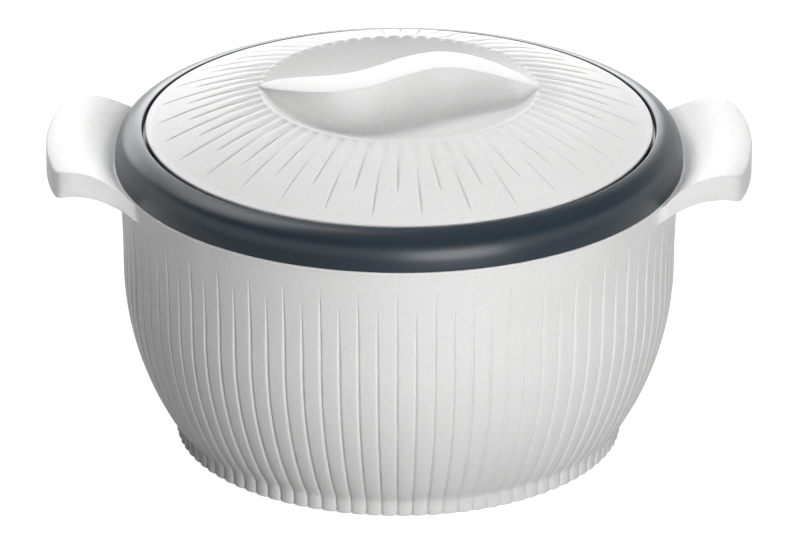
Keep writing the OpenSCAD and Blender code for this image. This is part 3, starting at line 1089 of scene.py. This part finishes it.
def studio_world():
    """Dim light on the object, white for the camera, and for shiny surfaces a white sweep
    low down that darkens towards the ceiling."""
    world = bpy.data.worlds.new("studio")
    world.use_nodes = True
    nt = world.node_tree
    nt.nodes.clear()
    out = nt.nodes.new("ShaderNodeOutputWorld")
    lit = new_node(nt, "ShaderNodeBackground", Color=WHITE_LIGHT, Strength=0.02)
    seen = new_node(nt, "ShaderNodeBackground", Color=WHITE_LIGHT, Strength=1.0)
    shine = new_node(nt, "ShaderNodeBackground", Strength=1.1)
    way = nt.nodes.new("ShaderNodeSeparateXYZ")
    nt.links.new(nt.nodes.new("ShaderNodeTexCoord").outputs["Generated"], way.inputs[0])
    sweep = [(0.36, (1, 1, 1)), (0.5, (0.35, 0.35, 0.35)), (0.62, (0.06, 0.06, 0.06))]
    nt.links.new(ramp(nt, way.outputs["Z"], sweep), shine.inputs["Color"])
    path = nt.nodes.new("ShaderNodeLightPath")
    around_it = mix_shader(nt, path.outputs["Is Glossy Ray"], lit.outputs[0], shine.outputs[0])
    surface = mix_shader(nt, seen_straight(nt, path), around_it, seen.outputs[0])
    nt.links.new(surface, out.inputs["Surface"])
    return world


floor_piece()
scene.world = studio_world()


# ---------- lights ----------
def area(name, at, target, wide, tall, power, mirrored):
    """A soft panel; shiny surfaces show it only if it is mirrored."""
    data = bpy.data.lights.new(name, "AREA")
    data.energy = power
    data.shape = "RECTANGLE"
    data.size = wide
    data.size_y = tall
    ob = bpy.data.objects.new(name, data)
    ob.location = at
    ob.rotation_mode = "QUATERNION"
    ob.rotation_quaternion = (Vector(target) - Vector(at)).to_track_quat("-Z", "Y")
    scene.collection.objects.link(ob)
    ob.visible_glossy = mirrored
    return data


MIDDLE = (0, 0, 0.1)


def around(azimuth, elevation, far):
    """A place seen from the object's middle; azimuth 0 is the front, 90 the right."""
    a, e = math.radians(azimuth), math.radians(elevation)
    return (
        far * math.sin(a) * math.cos(e),
        -far * math.cos(a) * math.cos(e),
        MIDDLE[2] + far * math.sin(e),
    )


# azimuth, elevation and distance, width and height, power, mirrored
PANELS = {
    "front": (21, 7, 1.05, 0.62, 0.45, 6.0, True),
    "front_high": (12, 32, 1.05, 0.62, 0.45, 2.0, False),
    "top": (0, 82, 2.0, 1.4, 1.4, 8.2, False),
    "back_high": (180, 51, 2.0, 1.3, 0.8, 11.0, False),
    "back_low": (180, 17, 2.0, 1.0, 0.75, 12.0, True),
    "back_left": (-153, 20, 2.0, 0.9, 0.7, 6.0, True),
    "left_high": (-143, 54, 2.0, 1.0, 0.9, 9.6, True),
    "right_high": (146, 56, 2.0, 1.0, 0.9, 6.8, False),
}
for name, (azimuth, elevation, far, wide, tall, power, mirrored) in PANELS.items():
    area(name, around(azimuth, elevation, far), MIDDLE, wide, tall, power, mirrored)
# a narrow beam on the left handle's front face
beam = area("handle_fill", (-0.165, -0.9, 0.2), (-0.165, 0, 0.14), 0.1, 0.1, 0.0095, False)
beam.spread = math.radians(8)

# ---------- camera ----------
# fitted to the photo: 4.13 m away, 23.7 degrees down, with a long lens
PITCH, TURN, ROLL = math.radians(23.695), math.radians(0.4), math.radians(0.14)
OUT, HIGH = 3.7529, 1.7235
# in pixels: the photo's width, the column the lens points at, the focal length
PHOTO_W, AIM_X, FOCAL = 800, 398.75, 8600.0
SENSOR = 36.0
cam_data = bpy.data.cameras.new("camera")
cam = bpy.data.objects.new("camera", cam_data)
scene.collection.objects.link(cam)
scene.camera = cam
cam_data.sensor_width = SENSOR
cam_data.lens = FOCAL / PHOTO_W * SENSOR
cam_data.shift_x = (PHOTO_W / 2 - AIM_X) / PHOTO_W
cam_data.clip_end = 100
cam.location = (OUT * math.sin(TURN), -OUT * math.cos(TURN), HIGH)
look = Vector(
    (-math.sin(TURN) * math.cos(PITCH), math.cos(TURN) * math.cos(PITCH), -math.sin(PITCH))
)
cam.rotation_mode = "QUATERNION"
cam.rotation_quaternion = look.to_track_quat("-Z", "Y") @ Quaternion((0, 0, 1), ROLL)
